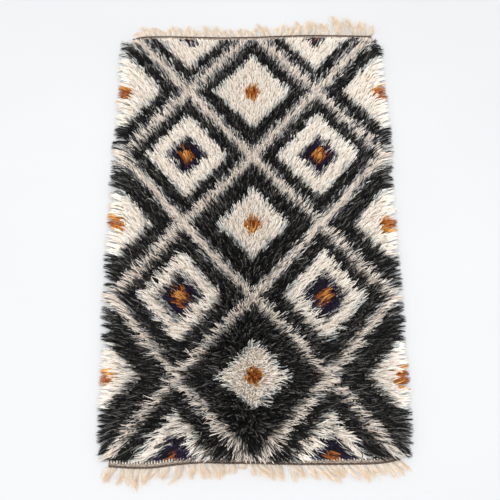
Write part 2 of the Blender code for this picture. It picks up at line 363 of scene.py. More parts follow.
heading = np.stack([reach_across, reach_along, 0 * reach], axis=1) / np.maximum(reach, 1e-6)[:, None]

# %% [markdown]
# Each strand bends by a fixed angle over its length, and more at the long sides, where it
# arches over the edge and comes down to the floor. The mean angle follows from how far the
# tip has to reach. Strands that would stand too tall are cut shorter, most of all beside the
# head, where the bare band would be hidden behind them.

# %% Angles of every strand
BEND, RIM_BEND = math.radians(52), math.radians(98)

lying = rim * smooth((reach / length - 0.45) / 0.35)
bend = BEND + (RIM_BEND - BEND) * lying
spread = np.sin(bend / 2) / (bend / 2)
mean_angle = np.arcsin(np.clip(reach / length / spread, 0, 0.985))
mean_angle = mean_angle + (math.radians(84) - mean_angle) * lying
first_angle = mean_angle - bend / 2
height = length * np.cos(mean_angle) * spread
height_limit = np.minimum(MOST_HEIGHT, HEAD_HEIGHT + HEAD_RISE * np.maximum(room["head"], 0))
length = length * np.clip(height_limit / np.maximum(height, 1e-6), 0, 1)

GATHER_SHORT, GATHER_LONG = 0.35, 0.95
gather_share = GATHER_SHORT + (GATHER_LONG - GATHER_SHORT) * fringed
pull = np.stack([knot_across[strand_knot] - across, knot_along[strand_knot] - along, 0 * across], axis=1)
pull = pull * gather_share[:, None]
print(strand_count, "strands, mean length", round(1000 * float(length.mean()), 1), "mm")

# %% [markdown]
# ## Colour for each strand
# A knot is tied with a few yarns of one shade together, and each strand is one of them. Wool
# from one dye bath still differs a little, so every strand also gets its own lightness.

# %% Pick the yarn of every strand
PALE_SPREAD, DARK_SPREAD = 0.035, 0.16

shade_of_strand = knot_shade[strand_knot]
strand_colour = np.ones((strand_count, 4))
for number, shade in enumerate(shade_names):
    yarns = np.array([linear(yarn) for yarn in SHADES[shade]])
    here = np.flatnonzero(shade_of_strand == number)
    strand_colour[here] = yarns[rng.integers(0, len(yarns), len(here))]
dark_share = 1 - strand_colour[:, 1]
strength = 0.915 + rng.normal(0, 1, strand_count).clip(-2, 2) * (PALE_SPREAD + DARK_SPREAD * dark_share)
strand_colour[:, :3] *= strength[:, None]
strand_colour = strand_colour.clip(0, 1)

# %% [markdown]
# ## Wool for the pile
# Rya wool is a plied, softly spun yarn. The eye gets almost no shine from it, a soft edge from
# the loose fibres, and fine streaks along each strand. The colour comes from the strand's own
# attribute. A ramp along the strand darkens it near the knot, as little light gets down there.

# %% Wool material
PILE_FIBRE, WARP_FIBRE = 0.0008, 0.0012
# Painted shade along the pile strands: darkest at the knot, full colour from 60 % of the length up
PILE_ROOT_SHADE = [(0.0, "#C4C0BC"), (0.25, "#DEDBD8"), (0.60, "#FFFFFF")]
# Along the warp strands: painted shade at the root by the cord, and the yarn's own peach towards the tip
WARP_ROOT_SHADE_AND_TIP_TINT = [(0.0, "#E2DCD6"), (0.35, "#F6F0E9"), (1.0, "#F7E4CA")]


def ramp_node(tree, factor, stops):
    """A colour ramp from a table of (position, hex colour)."""
    node = add_node(tree, "ShaderNodeValToRGB", {"Fac": factor})
    elements = node.color_ramp.elements
    while len(elements) < len(stops):
        elements.new(0.5)
    for element, (position, colour) in zip(elements, stops):
        element.position = position
        element.color = linear(colour)
    return node


def new_material(name, roughness, specular):
    """A material with its shader's fixed values set. Returns it, its tree and its shader."""
    material = bpy.data.materials.new(name)
    material.use_nodes = True
    shader = material.node_tree.nodes["Principled BSDF"]
    shader.inputs["Roughness"].default_value = roughness
    shader.inputs["Specular IOR Level"].default_value = specular
    return material, material.node_tree, shader


def wool_material(name, tints, fibre_size):
    """Spun wool: colour from the strand, tinted along it by a ramp that paints shade near the root, with fibre
    streaks and bumps.
    """
    material, tree, shader = new_material(name, 0.65, 0.18)
    dye = add_node(tree, "ShaderNodeAttribute", attribute_name="yarn_colour")
    way = add_node(tree, "ShaderNodeAttribute", attribute_name="along")
    # The ramp along the strand: painted shade near the root, and for the warp also the yarn's own tint at the tips
    root_shade_and_tint = ramp_node(tree, way.outputs["Fac"], tints)
    place = add_node(tree, "ShaderNodeTexCoord")
    fibres = add_node(
        tree,
        "ShaderNodeTexNoise",
        {"Vector": place.outputs["Object"], "Scale": 1 / fibre_size, "Detail": 3.0},
    )
    streak = add_node(
        tree,
        "ShaderNodeMapRange",
        {"Value": fibres.outputs["Fac"], "From Min": 0.3, "From Max": 0.7, "To Min": 0.88, "To Max": 1.06},
    )
    # Yarn colour times the ramp's painted shade
    dyed_and_shaded = add_node(
        tree,
        "ShaderNodeVectorMath",
        {0: dye.outputs["Color"], 1: root_shade_and_tint.outputs["Color"]},
        operation="MULTIPLY",
    )
    colour = add_node(
        tree,
        "ShaderNodeVectorMath",
        {0: dyed_and_shaded.outputs["Vector"], "Scale": streak.outputs["Result"]},
        operation="SCALE",
    )
    bump = add_node(
        tree,
        "ShaderNodeBump",
        {"Height": fibres.outputs["Fac"], "Distance": fibre_size / 3, "Strength": 0.6},
    )
    tree.links.new(colour.outputs["Vector"], shader.inputs["Base Color"])
    tree.links.new(bump.outputs["Normal"], shader.inputs["Normal"])
    return material


pile_wool = wool_material("spun_rya_wool", PILE_ROOT_SHADE, PILE_FIBRE)

# %% [markdown]
# ## A Geometry Nodes tree that grows yarn
# The tree puts a short curve on each point it is given, bends it into its arc, and sweeps a
# small triangle along it. Three sides are enough for a yarn that is a pixel or two wide, and
# they keep some forty thousand strands light. The arc's place at a share t of its length is
# the length times the integral of sine and cosine of its angle, which the Math nodes work out.

# %% Build the yarn tree
YARN_SIDES = 3


def new_tree(name, sockets):
    """A Geometry Nodes tree with named inputs, from a table of (name, kind, value)."""
    tree = bpy.data.node_groups.new(name, "GeometryNodeTree")
    tree.interface.new_socket("Geometry", in_out="INPUT", socket_type="NodeSocketGeometry")
    tree.interface.new_socket("Geometry", in_out="OUTPUT", socket_type="NodeSocketGeometry")
    for label, kind, value in sockets:
        socket = tree.interface.new_socket(label, in_out="INPUT", socket_type=kind)
        if value is not None:
            socket.default_value = value
    return tree, add_node(tree, "NodeGroupInput"), add_node(tree, "NodeGroupOutput")


def math_node(tree, operation, first, second=0.0):
    return add_node(tree, "ShaderNodeMath", {0: first, 1: second}, operation=operation).outputs[0]


def read(tree, name, kind="FLOAT"):
    return add_node(tree, "GeometryNodeInputNamedAttribute", {"Name": name}, data_type=kind).outputs[0]


def build_yarn_tree():
    tree, given, result = new_tree(
        "Yarn strands",
        [
            ("Rings", "NodeSocketInt", 3),
            ("Yarn radius", "NodeSocketFloat", YARN_RADIUS),
            ("Wave", "NodeSocketFloat", 0.001),
            ("Wave turn", "NodeSocketFloat", 5.0),
            ("Lowest", "NodeSocketFloat", 0.001),
            ("Material", "NodeSocketMaterial", None),
        ],
    )
    line = add_node(tree, "GeometryNodeCurvePrimitiveLine", {"End": (0, 0, 1)})
    rings = add_node(
        tree, "GeometryNodeResampleCurve", {"Curve": line.outputs[0], "Count": given.outputs["Rings"]}
    )
    placed = add_node(
        tree,
        "GeometryNodeInstanceOnPoints",
        {"Points": given.outputs["Geometry"], "Instance": rings.outputs[0]},
    )
    curves = add_node(tree, "GeometryNodeRealizeInstances", {0: placed.outputs[0]})
    factor = add_node(tree, "GeometryNodeSplineParameter")
    marked = add_node(
        tree,
        "GeometryNodeStoreNamedAttribute",
        {"Geometry": curves.outputs[0], "Name": "along", "Value": factor.outputs["Factor"]},
        data_type="FLOAT",
        domain="POINT",
    )
    share = read(tree, "along")
    first, bend, size = read(tree, "first_angle"), read(tree, "bend"), read(tree, "yarn_length")
    angle = math_node(tree, "ADD", first, math_node(tree, "MULTIPLY", bend, share))
    out = math_node(tree, "SUBTRACT", math_node(tree, "COSINE", first), math_node(tree, "COSINE", angle))
    rise = math_node(tree, "SUBTRACT", math_node(tree, "SINE", angle), math_node(tree, "SINE", first))
    out = math_node(tree, "MULTIPLY", size, math_node(tree, "DIVIDE", out, bend))
    rise = math_node(tree, "MULTIPLY", size, math_node(tree, "DIVIDE", rise, bend))
    heading = read(tree, "heading", "FLOAT_VECTOR")
    outward = add_node(tree, "ShaderNodeVectorMath", {0: heading, "Scale": out}, operation="SCALE")
    squared = math_node(tree, "MULTIPLY", share, share)
    gather = read(tree, "gather", "FLOAT_VECTOR")
    gathered = add_node(tree, "ShaderNodeVectorMath", {0: gather, "Scale": squared}, operation="SCALE")
    turn = math_node(tree, "MULTIPLY", share, given.outputs["Wave turn"])
    turn = math_node(tree, "ADD", read(tree, "phase"), turn)
    swing = math_node(tree, "MULTIPLY", math_node(tree, "SINE", turn), given.outputs["Wave"])
    swing = math_node(tree, "MULTIPLY", swing, share)
    side = add_node(
        tree, "ShaderNodeVectorMath", {0: heading, 1: (0.0, 0.0, 1.0)}, operation="CROSS_PRODUCT"
    )
    swung = add_node(tree, "ShaderNodeVectorMath", {0: side.outputs[0], "Scale": swing}, operation="SCALE")
    place = read(tree, "root", "FLOAT_VECTOR")
    for part in (outward, gathered, swung):
        place = add_node(tree, "ShaderNodeVectorMath", {0: place, 1: part.outputs[0]}).outputs[0]
    lift = add_node(tree, "ShaderNodeCombineXYZ", {"Z": rise})
    place = add_node(tree, "ShaderNodeVectorMath", {0: place, 1: lift.outputs[0]}).outputs[0]
    axes = add_node(tree, "ShaderNodeSeparateXYZ", {0: place})
    height = math_node(tree, "MAXIMUM", axes.outputs["Z"], given.outputs["Lowest"])
    place = add_node(
        tree, "ShaderNodeCombineXYZ", {"X": axes.outputs["X"], "Y": axes.outputs["Y"], "Z": height}
    )
    bent = add_node(
        tree, "GeometryNodeSetPosition", {"Geometry": marked.outputs[0], "Position": place.outputs[0]}
    )
    loss = math_node(tree, "SUBTRACT", 1.0, read(tree, "tip_share"))
    cubed = math_node(tree, "MULTIPLY", squared, share)
    taper = math_node(tree, "SUBTRACT", 1.0, math_node(tree, "MULTIPLY", loss, cubed))
    taper = math_node(tree, "MULTIPLY", taper, read(tree, "thickness"))
    triangle = add_node(
        tree,
        "GeometryNodeCurvePrimitiveCircle",
        {"Resolution": YARN_SIDES, "Radius": given.outputs["Yarn radius"]},
    )
    yarn = add_node(
        tree,
        "GeometryNodeCurveToMesh",
        {"Curve": bent.outputs[0], "Profile Curve": triangle.outputs[0], "Scale": taper, "Fill Caps": True},
    )
    real = add_node(tree, "GeometryNodeRealizeInstances", {0: yarn.outputs[0]})
    dressed = add_node(
        tree,
        "GeometryNodeSetMaterial",
        {"Geometry": real.outputs[0], "Material": given.outputs["Material"]},
    )
    tree.links.new(dressed.outputs[0], result.inputs[0])
    return tree


yarn_tree = build_yarn_tree()
print("The yarn tree has", len(yarn_tree.nodes), "nodes")

# %% [markdown]
# ## From points to a finished mesh
# A mesh of loose points carries what the tree needs as attributes. The modifier's inputs are
# set by the sockets' identifiers before the object is first evaluated, and the result becomes
# a plain mesh, because instances and modifiers don't travel well to other programs.

# %% Helpers that run a tree and keep its result
def points_mesh(name, values):
    """Loose points at their roots, with one attribute for each entry of values."""
    kinds = {1: ("FLOAT", "value"), 3: ("FLOAT_VECTOR", "vector"), 4: ("FLOAT_COLOR", "color")}
    mesh = bpy.data.meshes.new(name)
    mesh.vertices.add(len(values["root"]))
    mesh.vertices.foreach_set("co", values["root"].astype(np.float32).ravel())
    for label, value in values.items():
        kind, field = kinds[1 if value.ndim == 1 else value.shape[1]]
        attribute = mesh.attributes.new(label, kind, "POINT")
        attribute.data.foreach_set(field, value.astype(np.float32).ravel())
    return mesh


def run_tree(name, mesh, tree, settings):
    """Run a Geometry Nodes tree on a mesh and return the result as a plain object."""
    source = bpy.data.objects.new(name + "_points", mesh)
    bpy.context.collection.objects.link(source)
    modifier = source.modifiers.new("tree", "NODES")
    modifier.node_group = tree
    for item in tree.interface.items_tree:
        if item.item_type == "SOCKET" and item.name in settings:
            modifier[item.identifier] = settings[item.name]
    depsgraph = bpy.context.evaluated_depsgraph_get()
    made = bpy.data.meshes.new_from_object(source.evaluated_get(depsgraph))
    bpy.data.objects.remove(source, do_unlink=True)
    bpy.data.meshes.remove(mesh)
    piece = bpy.data.objects.new(name, made)
    made.name = name
    bpy.context.collection.objects.link(piece)
    made.shade_smooth()
    return piece


# %% [markdown]
# ## A map with a cell for each strand
# When the finished rug is baked for other programs, each strand needs its own patch of the
# image. All strands have the same rings and faces, so the map is a grid of small cells, worked
# out from the corner's ring and side.

# %% Map helper
CELL_MARGIN = 0.06


def strand_map(piece, rings):
    """Give each strand its own cell of a UV map, its length upwards and its sides across."""
    mesh = piece.data
    side_faces = (rings - 1) * YARN_SIDES
    faces_each, points_each = side_faces + 2, rings * YARN_SIDES
    corner_point = np.empty(len(mesh.loops), np.int64)
    mesh.loops.foreach_get("vertex_index", corner_point)
    face_size = np.empty(len(mesh.polygons), np.int64)
    mesh.polygons.foreach_get("loop_total", face_size)
    corner_face = np.repeat(np.arange(len(face_size)), face_size)
    strand, face = np.divmod(corner_face, faces_each)
    ring, side = np.divmod(corner_point % points_each, YARN_SIDES)
    face_side = face % YARN_SIDES
    sideways = (face_side + (side != face_side)) / YARN_SIDES
    upwards = 0.88 * ring / (rings - 1)
    on_cap = face >= side_faces
    sideways = np.where(on_cap, side / (YARN_SIDES - 1), sideways)
    cap_base = 0.90 + 0.05 * (face - side_faces)
    upwards = np.where(on_cap, cap_base + 0.04 * (side == 1), upwards)
    cells = math.ceil(math.sqrt(strand.max() + 1))
    scale = 1 - 2 * CELL_MARGIN
    u = (strand % cells + CELL_MARGIN + scale * sideways) / cells
    v = (strand // cells + CELL_MARGIN + scale * upwards) / cells
    layer = mesh.uv_layers.new(name="OFBake")
    layer.data.foreach_set("uv", np.stack([u, v], 1).astype(np.float32).ravel())


def report(piece):
    piece.data.calc_loop_triangles()
    print(f"{piece.name}: {len(piece.data.loop_triangles)} triangles")
    return len(piece.data.loop_triangles)


# %% [markdown]
# ## The pile
# The strands near the rug's rim show from the side, so they get more rings and hang in a softer
# curve. The rest of the pile is split by rows into bands, to keep each piece light.

# %% Grow the pile
RIM_ZONE = 0.040
FIELD_RINGS, RIM_RINGS = 3, 4
FIELD_BANDS = 4
BLUNT_TIP, POINTED_TIP = 0.62, 0.18

values = {
    "root": np.stack([across, along, np.full(strand_count, ROOT_HEIGHT)], axis=1),
    "yarn_length": length,
    "first_angle": first_angle,
    "bend": bend,
    "heading": heading,
    "gather": pull,
    "phase": rng.uniform(0, 2 * math.pi, strand_count),
    "thickness": rng.normal(1, 0.12, strand_count).clip(0.7, 1.3) * (1 - 0.06 * rim - 0.18 * foot_share * (1 - rim)),
    "tip_share": BLUNT_TIP + (POINTED_TIP - BLUNT_TIP) * fringed,
    "yarn_colour": strand_colour,
}
end_room = np.minimum(along - foot_at(across) - FOOT_BAND, head_at(across) - HEAD_BAND - along)
at_rim = np.minimum(side_room, end_room * 1.6) < RIM_ZONE
band = np.clip(strand_row * FIELD_BANDS // knot_rows, 0, FIELD_BANDS - 1)
groups = [("pile_rim", at_rim, RIM_RINGS)]
groups += [(f"pile_band_{b + 1}", ~at_rim & (band == b), FIELD_RINGS) for b in range(FIELD_BANDS)]

total = 0
for name, chosen, rings in groups:
    mesh = points_mesh(name, {label: value[chosen] for label, value in values.items()})
    settings = {"Rings": rings, "Yarn radius": YARN_RADIUS}
    settings |= {"Wave": 0.0016, "Lowest": YARN_RADIUS * 0.8, "Material": pile_wool}
    piece = run_tree(name, mesh, yarn_tree, settings)
    strand_map(piece, rings)
    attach(piece, "root")
    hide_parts("pile")
    total += report(piece)
print(total, "triangles of pile")

# %% [markdown]
# ## The bed of knots
# Real shag is so dense that the eye sees only the upper half of the pile. Growing every strand
# of it would take millions of triangles, so one bumpy slab stands for the lower half. Each knot
# is a low pyramid in it, and its four faces take the colours of the knot's own yarns. The slab
# is thinner at the rug's edges, where the strands lie down. Light that gets in between the
# strands comes back from it, which keeps cream wool bright down to the knots.

# %% Lay the bed
BED_LOW, BED_HIGH, BED_SLOPE = 0.0042, 0.0105, 0.045
KNOT_RISE = (0.0012, 0.0065)


def knot_room():
    """How far each knot is from the nearest edge of the knotted field."""
    sides = np.minimum(knot_across - left_side, right_side - knot_across)
    ends = np.minimum(knot_along - foot_at(knot_across), head_at(knot_across) - knot_along)
    return np.minimum(sides, ends - HEAD_BAND)


def knot_bed():
    """A closed slab with one low pyramid per knot, its faces in the knot's colours under the darkest painted root
    shade.
    """
    across_count, along_count = knot_columns + 1, knot_rows + 1
    c, r = np.meshgrid(np.arange(across_count), np.arange(along_count), indexing="ij")
    place, reach = knot_place(c.ravel() - 0.5, r.ravel() - 0.5)
    edge_room = np.minimum(place - left_side, right_side - place)
    edge_room = np.minimum(edge_room, reach - foot_at(place) - FOOT_BAND)
    edge_room = np.minimum(edge_room, head_at(place) - HEAD_BAND - reach)
    height = BED_LOW + (BED_HIGH - BED_LOW) * smooth(edge_room / BED_SLOPE)
    bed = bmesh.new()
    verts = [bed.verts.new(point) for point in zip(place, reach, height)]
    shade = bed.faces.layers.float_vector.new("yarn_colour")
    first_strand = np.searchsorted(strand_knot, np.arange(len(column)))
    corners = column * along_count + row
    rings = np.stack([corners, corners + along_count, corners + along_count + 1, corners + 1], axis=1)
    rise = rng.uniform(*KNOT_RISE, len(column)) * smooth(knot_room() / BED_SLOPE)
    peaks = np.stack([knot_across, knot_along, height[rings].mean(axis=1) + rise], axis=1)
    for knot, ring in enumerate(rings.tolist()):
        peak = bed.verts.new(peaks[knot])
        for side in range(4):
            face = bed.faces.new([verts[ring[side]], verts[ring[(side + 1) % 4]], peak])
            face[shade] = strand_colour[first_strand[knot] + side % 3][:3]
    rim_edges = [edge for edge in bed.edges if edge.is_boundary]
    walls = bmesh.ops.extrude_edge_only(bed, edges=rim_edges)["geom"]
    for vert in walls:
        if isinstance(vert, bmesh.types.BMVert):
            vert.co.z = CLOTH_TOP
    bmesh.ops.contextual_create(bed, geom=[edge for edge in bed.edges if edge.is_boundary])
    bmesh.ops.recalc_face_normals(bed, faces=bed.faces)
    mesh = bpy.data.meshes.new("knot_bed")
    bed.to_mesh(mesh)
    bed.free()
    # The bed has no along attribute, so the wool's ramp reads 0 here and gives the knots' colours its darkest
    # painted shade
    mesh.materials.append(pile_wool)
    piece = bpy.data.objects.new("knot_bed", mesh)
    bpy.context.collection.objects.link(piece)
    return piece


bed = knot_bed()
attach(bed, "root")
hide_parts("pile")
report(bed)

# %% [markdown]
# ## The ground cloth
# The ground is a weft-faced weave: thick grey-beige wefts packed down until they hide the
# warps. It shows only as a narrow band at each end. The piece is a real sheet whose top has
# the weft ribs as relief. The weave itself is finer than a pixel, so the ribs are drawn as
# coarse as they need to show.

# %% Ground cloth material
RIB_PITCH = 0.0024
FLECK_LONG, FLECK_SHORT = 0.0090, 0.0028
FLECK_TINTS = [(0.30, "#504640"), (0.48, "#877A6E"), (0.72, "#BDAFA2")]


def ground_material():
    """Weft-faced wool: matt grey-beige with heather flecks that run along the wefts."""
    material, tree, shader = new_material("weft_faced_wool", 0.9, 0.2)
    place = add_node(tree, "ShaderNodeTexCoord")
    stretched = add_node(
        tree,
        "ShaderNodeMapping",
        {"Vector": place.outputs["Object"], "Scale": (1 / FLECK_LONG, 1 / FLECK_SHORT, 1.0)},
    )
    flecks = add_node(
        tree, "ShaderNodeTexNoise", {"Vector": stretched.outputs[0], "Scale": 1.0, "Detail": 2.0}
    )
    colour = ramp_node(tree, flecks.outputs["Fac"], FLECK_TINTS)
    bump = add_node(
        tree, "ShaderNodeBump", {"Height": flecks.outputs["Fac"], "Distance": 0.0006, "Strength": 0.8}
    )
    tree.links.new(colour.outputs["Color"], shader.inputs["Base Color"])
    tree.links.new(bump.outputs["Normal"], shader.inputs["Normal"])
    return material


ground_wool = ground_material()

# %% Ground cloth mesh
CLOTH_COLUMNS = 120
BAND_ROWS, MIDDLE_ROWS = 16, 8
BAND_SHARE = 0.022
RIB_HEIGHT = 0.00035


def ground_cloth():
    """A sheet over the whole ground, with fine rows of ribs in the two bands that show."""
    band_stops = np.linspace(0, BAND_SHARE, BAND_ROWS + 1)
    middle_stops = np.linspace(BAND_SHARE, 1 - BAND_SHARE, MIDDLE_ROWS + 1)[1:-1]
    stops = np.concatenate([band_stops, middle_stops, 1 - band_stops[::-1]])
    sheet = bmesh.new()
    bmesh.ops.create_grid(sheet, x_segments=CLOTH_COLUMNS, y_segments=len(stops) - 1, size=1.0)
    for vert in sheet.verts:
        stop_number = round((vert.co.y + 1) / 2 * (len(stops) - 1))
        share = stops[stop_number]
        first = foot_edge[0, 0] + (foot_edge[-1, 0] - foot_edge[0, 0]) * (vert.co.x + 1) / 2
        last = head_edge[0, 0] + (head_edge[-1, 0] - head_edge[0, 0]) * (vert.co.x + 1) / 2
        place = first + (last - first) * share
        along = foot_at(first) + (head_at(last) - foot_at(first)) * share
        rib = RIB_HEIGHT * (stop_number % 2)
        vert.co = (place, along, CLOTH_TOP - RIB_HEIGHT + rib)
    top = sheet.faces[:]
    raised = bmesh.ops.extrude_face_region(sheet, geom=top)["geom"]
    for vert in raised:
        if isinstance(vert, bmesh.types.BMVert):
            vert.co.z = 0.0
    bmesh.ops.recalc_face_normals(sheet, faces=sheet.faces)
    mesh = bpy.data.meshes.new("ground_cloth")
    sheet.to_mesh(mesh)
    sheet.free()
    mesh.materials.append(ground_wool)
    mesh.shade_smooth()
    piece = bpy.data.objects.new("ground_cloth", mesh)
    bpy.context.collection.objects.link(piece)
    return piece


cloth = ground_cloth()
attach(cloth, "root")
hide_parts("ground_weave")
report(cloth)

# %% [markdown]
# ## The row of stitches
# Between the pile and the bare band the backs of the last knots show as a row of short upright light stitches, with
# a dark loop set a little lower in each gap between them. Each is a fat little loop of yarn, and the yarn tree makes
# them too: a strand that leaves the cloth, humps up a little and dips back in.

# %% Edge stitches
STITCH_LENGTH, STITCH_RINGS, STITCH_IN = 0.0108, 5, 0.0010
LIGHT_STITCH, DARK_STITCH = 0.0018, 0.0016
# Colour of the light stitches, then of the dark, lower loops in the gaps between them
STITCH_YARNS = ["#F2EBE2", "#1E1C1B"]


def grow_yarn(name, values, slot, rings, radius, material, **settings):
    """Grow a piece of yarn strands from a table of values and attach it to the rug's root."""
    given = {"Rings": rings, "Yarn radius": radius, "Lowest": radius * 0.8, "Material": material}
    piece = run_tree(name, points_mesh(name, values), yarn_tree, given | settings)
    strand_map(piece, rings)
    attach(piece, "root")
    report(piece)
    return piece


def edge_stitches(name, edge_at, inward, band, is_dark):
    """Every other loop of a row across the rug, just outside the last row of pile."""
    count = knot_columns
    places = left_side + cloth_width * (np.arange(count) + 0.25 + 0.5 * is_dark) / count
    start = edge_at(places) + inward * (band - STITCH_IN)
    low = CLOTH_TOP - 0.0006 - 0.0008 * is_dark
    loops = {
        "root": np.stack([places, start, np.full(count, low)], axis=1),
        "yarn_length": STITCH_LENGTH * rng.normal(1, 0.07, count),
        "first_angle": np.full(count, math.radians(58)),
        "bend": np.full(count, math.radians(64)),
        "heading": np.tile([0.0, -inward, 0.0], (count, 1)),
        "gather": rng.normal(0, 0.0004, (count, 3)) * [1, 0, 0],
        "phase": rng.uniform(0, 6, count),
        "thickness": np.ones(count),
        "tip_share": np.full(count, 0.8),
        "yarn_colour": np.tile(linear(STITCH_YARNS[is_dark]), (count, 1)),
    }
    settings = {"Wave": 0.0002}
    radius = DARK_STITCH if is_dark else LIGHT_STITCH
    grow_yarn(name, loops, "ground_wool", STITCH_RINGS, radius, stitch_wool, **settings)


stitch_wool = wool_material("knot_back_wool", [(0.0, "#FFFFFF"), (1.0, "#FFFFFF")], PILE_FIBRE)
for tone in (0, 1):
    edge_stitches(f"stitches_foot_{tone + 1}", foot_at, 1, FOOT_BAND, tone)
    edge_stitches(f"stitches_head_{tone + 1}", head_at, -1, HEAD_BAND, tone)

# %% [markdown]
# ## The twined cords
# Twining is two brown yarns that cross between every pair of warps. From above it reads as a
# thin dark line with small teeth. Two helices round the end line make it, each swept as a tube
# by a second tree.

# %% Twined cord tree
TWIST_PITCH = 0.0165
PLY_RADIUS = 0.00130
TWIST_RADIUS = 0.00200
STEPS_PER_TURN = 10
HEAD_CORD_SIZE = 0.82
CORD_RADIUS = 0.0025


def build_cord_tree():
    tree, given, result = new_tree(
        "Twined cord",
        [
            ("Steps", "NodeSocketInt", 480),
            ("Turns", "NodeSocketFloat", 60.0),
            ("Phase", "NodeSocketFloat", 0.0),
            ("Twist radius", "NodeSocketFloat", TWIST_RADIUS),
            ("Ply radius", "NodeSocketFloat", PLY_RADIUS),
            ("Material", "NodeSocketMaterial", None),
        ],
    )
    line = add_node(tree, "GeometryNodeMeshToCurve", {"Mesh": given.outputs["Geometry"]})
    steps = add_node(
        tree, "GeometryNodeResampleCurve", {"Curve": line.outputs[0], "Count": given.outputs["Steps"]}
    )
    factor = add_node(tree, "GeometryNodeSplineParameter")
    turn = math_node(tree, "MULTIPLY", factor.outputs["Factor"], given.outputs["Turns"])
    turn = math_node(tree, "MULTIPLY", turn, 2 * math.pi)
    turn = math_node(tree, "ADD", turn, given.outputs["Phase"])
    across = math_node(tree, "MULTIPLY", math_node(tree, "COSINE", turn), given.outputs["Twist radius"])
    upward = math_node(tree, "MULTIPLY", math_node(tree, "SINE", turn), given.outputs["Twist radius"])
    offset = add_node(tree, "ShaderNodeCombineXYZ", {"Y": across, "Z": upward})
    wound = add_node(
        tree, "GeometryNodeSetPosition", {"Geometry": steps.outputs[0], "Offset": offset.outputs[0]}
    )
    ring = add_node(
        tree,
        "GeometryNodeCurvePrimitiveCircle",
        {"Resolution": 6, "Radius": given.outputs["Ply radius"]},
    )
    ply = add_node(
        tree,
        "GeometryNodeCurveToMesh",
        {"Curve": wound.outputs[0], "Profile Curve": ring.outputs[0], "Fill Caps": True},
    )
    real = add_node(tree, "GeometryNodeRealizeInstances", {0: ply.outputs[0]})
    dressed = add_node(
        tree, "GeometryNodeSetMaterial", {"Geometry": real.outputs[0], "Material": given.outputs["Material"]}
    )
    tree.links.new(dressed.outputs[0], result.inputs[0])
    return tree


cord_tree = build_cord_tree()

# %% Brown yarn material and the cords
# The two yarns of the twining, the first a little darker
PLY_TINTS = {
    "dark_brown_wool": [(0.35, "#2E221A"), (0.72, "#5E4A3C")],
    "brown_wool": [(0.35, "#46352B"), (0.72, "#816956")],
}


def brown_material(name, tints):
    """Tightly twisted wool yarn: brown and matt, with paler fuzz in patches."""
    material, tree, shader = new_material(name, 0.85, 0.22)
    place = add_node(tree, "ShaderNodeTexCoord")
    fuzz = add_node(
        tree, "ShaderNodeTexNoise", {"Vector": place.outputs["Object"], "Scale": 1 / 0.003, "Detail": 4.0}
    )
    colour = ramp_node(tree, fuzz.outputs["Fac"], tints)
    bump = add_node(
        tree, "ShaderNodeBump", {"Height": fuzz.outputs["Fac"], "Distance": 0.0004, "Strength": 0.7}
    )
    tree.links.new(colour.outputs["Color"], shader.inputs["Base Color"])
    tree.links.new(bump.outputs["Normal"], shader.inputs["Normal"])
    return material


ply_wools = [brown_material(name, tints) for name, tints in PLY_TINTS.items()]


def cord_line(node):
    """The middle line of a cord's solid, as points from left to right."""
    points = node_points(node)
    order = np.argsort(points[:, 0])
    points = points[order]
    low, high = points[0, 0], points[-1, 0]
    places = np.linspace(low + 0.001, high - 0.001, 60)
    outward = 1 if points[:, 1].mean() > 0 else -1
    edge_at = head_at if outward > 0 else foot_at
    along = edge_at(places) + outward * (CORD_RADIUS + 0.0003)
    return np.stack([places, along, 0 * places + PLY_RADIUS + TWIST_RADIUS], axis=1)


def join_pieces(name, pieces):
    """Join several mesh objects into the first and give it a name."""
    with bpy.context.temp_override(active_object=pieces[0], selected_editable_objects=pieces):
        bpy.ops.object.join()
    pieces[0].name = name
    return pieces[0]


def twined_cord(name, node, size):
    """Two plies wound round each other along one end, at a share of their full thickness."""
    line = cord_line(node) * [1, 1, size]
    turns = (line[-1, 0] - line[0, 0]) / TWIST_PITCH
    plies = []
    for ply, wool in enumerate(ply_wools):
        mesh = bpy.data.meshes.new(name)
        mesh.from_pydata([tuple(p) for p in line], [(i, i + 1) for i in range(len(line) - 1)], [])
        settings = {"Steps": int(turns * STEPS_PER_TURN), "Turns": turns}
        settings |= {"Twist radius": TWIST_RADIUS * size, "Ply radius": PLY_RADIUS * size}
        settings |= {"Phase": ply * math.pi, "Material": wool}
        plies.append(run_tree(f"{name}_{ply}", mesh, cord_tree, settings))
    piece = join_pieces(name, plies)
    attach(piece, "root")
    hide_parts(node)
    report(piece)
    return piece


twined_cord("twined_cord_head", "twining_head", HEAD_CORD_SIZE)
twined_cord("twined_cord_foot", "twining_foot", 1.0)

# %% [markdown]
# ## The fringe
# Beyond each cord the warps run out as a fringe. They are ivory plied yarns whose ends have
# come untwisted, so each is a small wisp: a few dozen fibres that leave the cord together,
# spread a little and close again at the tip. At the foot the wisps are combed to the right,
# and fan to the left at the left corner. Short tables give their length and lean.

